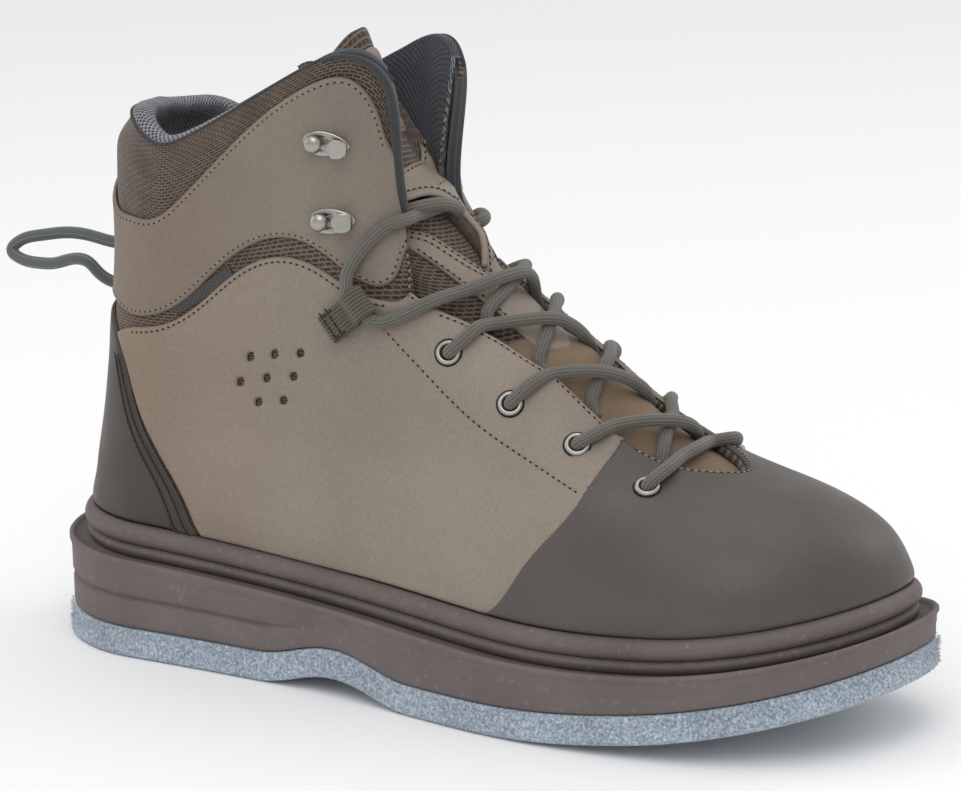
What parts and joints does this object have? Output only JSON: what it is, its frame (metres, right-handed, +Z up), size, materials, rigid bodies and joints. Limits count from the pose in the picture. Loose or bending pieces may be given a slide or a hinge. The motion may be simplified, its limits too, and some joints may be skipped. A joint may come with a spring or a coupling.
{
  "type": "wading boot",
  "caption": "Ankle-high wading boot for the right foot with a felt sole, raised welt, padded collar, gusseted tongue and round laces",
  "frame": {"origin": "where the middle of the heel rests on the floor, under the ankle", "axes": "+X towards the toe, +Y to the inner side of the right foot, +Z up"},
  "size_m": [0.3526, 0.1208, 0.2161],
  "materials": {
    "felt": "pressed felt, blue-grey with pale fibres",
    "midsole_rubber": "moulded foam rubber, matt brown-grey",
    "welt_rubber": "moulded rubber welt with a stitched groove",
    "insole_foam": "textile on foam",
    "mesh": "knitted brown mesh with short dark dashes",
    "taupe_leather": "smooth synthetic leather, low sheen",
    "dark_leather": "rubberised synthetic leather, low sheen",
    "lining": "spacer mesh lining",
    "webbing": "ribbed webbing",
    "lace_cord": "braided round cord with pale tracers",
    "steel": "satin nickel-plated steel"
  },
  "bodies": {
    "root": {"felt_outsole": "felt", "midsole": "midsole_rubber", "insole": "insole_foam", "welt": "welt_rubber", "upper": "mesh", "toe_cap": "dark_leather", "heel_counter": "dark_leather", "quarter_lateral": "taupe_leather", "quarter_medial": "taupe_leather", "shaft_panel": "taupe_leather", "collar_lining": "lining", "tongue": "mesh", "eyelet_lateral_1": "steel", "eyelet_lateral_2": "steel", "eyelet_lateral_3": "steel", "eyelet_lateral_4": "steel", "lace_hook_lateral_1": "steel", "lace_hook_lateral_2": "steel", "lace_loop_lateral": "webbing", "eyelet_medial_1": "steel", "eyelet_medial_2": "steel", "eyelet_medial_3": "steel", "eyelet_medial_4": "steel", "lace_hook_medial_1": "steel", "lace_hook_medial_2": "steel", "lace_loop_medial": "webbing", "side_tab": "webbing", "lace_crossing_1": "lace_cord", "lace_crossing_2": "lace_cord", "lace_crossing_3": "lace_cord", "lace_crossing_4": "lace_cord", "heel_pull_loop": "lace_cord"}
  },
  "joints": []
}
